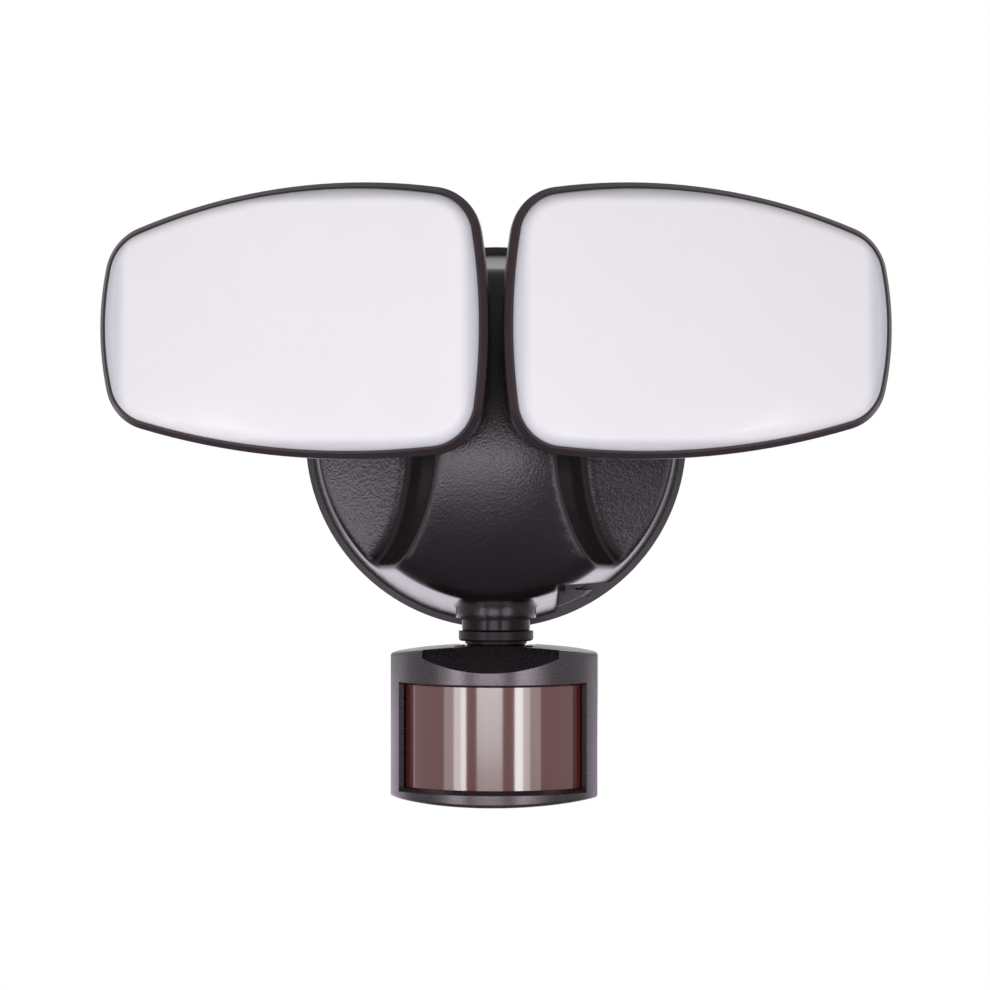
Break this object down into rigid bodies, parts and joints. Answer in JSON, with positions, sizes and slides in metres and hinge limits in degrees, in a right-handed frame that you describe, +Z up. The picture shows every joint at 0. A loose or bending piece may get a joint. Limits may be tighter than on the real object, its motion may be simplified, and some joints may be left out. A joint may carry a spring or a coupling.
{
  "type": "motion sensor security light",
  "caption": "Wall-mounted twin flood light: round domed canopy, swivelling frosted heads in dark bronze frames, and a tilting motion sensor below.",
  "frame": {"origin": "centre of the mounting face, on the wall", "axes": "+Z up, the light faces -Y, +X to the right of someone who looks at the light"},
  "size_m": [0.263, 0.1023, 0.2066],
  "materials": {
    "foam": "matt closed-cell foam",
    "black_plastic": "fine grained moulding",
    "ground_screw": "green passivated",
    "spring_steel": "bright",
    "bronze_paint": "semi-gloss, light orange peel",
    "bronze_gloss": "glossy",
    "bronze_plastic": "fine sparkle grain",
    "bezel_plastic": "satin",
    "circuit_board": "solder resist",
    "plated_steel": "zinc plated",
    "ferrite": "ferrite and tape",
    "capacitor_sleeve": "shrink sleeve",
    "terminal_plastic": "moulded",
    "black_rubber": "matt",
    "diffuser": "opal, glossy",
    "led_board": "white solder resist",
    "led_phosphor": "silicone",
    "liner_nylon": "moulded nylon",
    "sensor_lens": "tinted polyethylene",
    "detector_metal": "nickel plated can",
    "photocell": "epoxy",
    "black_steel": "black oxide"
  },
  "bodies": {
    "wall_unit": {"wall_gasket": "foam", "mounting_plate": "black_plastic", "ground_screw": "ground_screw", "canopy": "bronze_paint", "driver_board": "circuit_board", "driver_screws": "plated_steel", "transformer": "ferrite", "capacitors": "capacitor_sleeve", "terminal_block": "terminal_plastic", "neck_seal": "black_rubber", "sensor_neck": "bronze_gloss", "neck_nut": "plated_steel", "arm_seals": "black_rubber", "arm_nuts": "plated_steel", "right_arm": "bronze_paint", "left_arm": "bronze_paint", "latch_spring": "spring_steel"},
    "latch": {"release_latch": "black_plastic"},
    "right_swivel": {"right_ball_liner": "liner_nylon"},
    "right_head": {"right_bezel": "bezel_plastic", "right_lens": "diffuser", "right_lens_gasket": "black_rubber", "right_head_housing": "bronze_paint", "right_bezel_screws": "black_steel", "right_led_board": "led_board", "right_led_chips": "led_phosphor", "right_ball_ring": "bronze_plastic"},
    "left_swivel": {"left_ball_liner": "liner_nylon"},
    "left_head": {"left_bezel": "bezel_plastic", "left_lens": "diffuser", "left_lens_gasket": "black_rubber", "left_head_housing": "bronze_paint", "left_bezel_screws": "black_steel", "left_led_board": "led_board", "left_led_chips": "led_phosphor", "left_ball_ring": "bronze_plastic"},
    "sensor_swivel": {"sensor_ball": "bronze_plastic", "neck_clip": "spring_steel"},
    "sensor_head": {"sensor_hood": "bronze_plastic", "sensor_rear_cover": "bronze_plastic", "pir_lens": "sensor_lens", "sensor_board": "circuit_board", "pir_detector": "detector_metal", "photocell": "photocell", "control_board": "circuit_board", "case_screws": "black_steel"},
    "time_dial": {"time_dial": "black_plastic"},
    "range_dial": {"range_dial": "black_plastic"},
    "mode_switch": {"mode_switch": "black_plastic"}
  },
  "joints": [
    {"name": "latch_slide", "type": "slide", "parent": "wall_unit", "child": "latch", "axis": [0, 0, 1], "range_m": [0, 0.002], "stiffness_N_per_m": 600, "springref_m": -0.001, "deforming": ["latch_spring"]},
    {"name": "right_pan", "type": "hinge", "parent": "wall_unit", "child": "right_swivel", "pos_m": [0.06, -0.06, 0.032], "axis": [0, 0, 1], "range_deg": [0, 28]},
    {"name": "right_tilt", "type": "hinge", "parent": "right_swivel", "child": "right_head", "pos_m": [0.06, -0.06, 0.032], "axis": [0.9681, 0.2504, 0], "range_deg": [-18, 25]},
    {"name": "left_pan", "type": "hinge", "parent": "wall_unit", "child": "left_swivel", "pos_m": [-0.06, -0.06, 0.032], "axis": [0, 0, -1], "range_deg": [0, 28]},
    {"name": "left_tilt", "type": "hinge", "parent": "left_swivel", "child": "left_head", "pos_m": [-0.06, -0.06, 0.032], "axis": [0.9681, -0.2504, 0], "range_deg": [-18, 25]},
    {"name": "sensor_pan", "type": "hinge", "parent": "wall_unit", "child": "sensor_swivel", "pos_m": [0, -0.027, -0.0668], "axis": [0, 0, 1], "range_deg": [-41, 49]},
    {"name": "sensor_tilt", "type": "hinge", "parent": "sensor_swivel", "child": "sensor_head", "pos_m": [0, -0.027, -0.0797], "axis": [0.9976, -0.0698, 0], "range_deg": [-12, 22]},
    {"name": "time_turn", "type": "hinge", "parent": "sensor_head", "child": "time_dial", "pos_m": [-0.01401, -0.04106, -0.12], "axis": [0, 0, 1], "range_deg": [-135, 135]},
    {"name": "range_turn", "type": "hinge", "parent": "sensor_head", "child": "range_dial", "pos_m": [0.01192, -0.04287, -0.12], "axis": [0, 0, 1], "range_deg": [-135, 135]},
    {"name": "mode_slide", "type": "slide", "parent": "sensor_head", "child": "mode_switch", "axis": [0.9976, -0.0698, 0], "range_m": [-0.0016, 0.0016]}
  ]
}
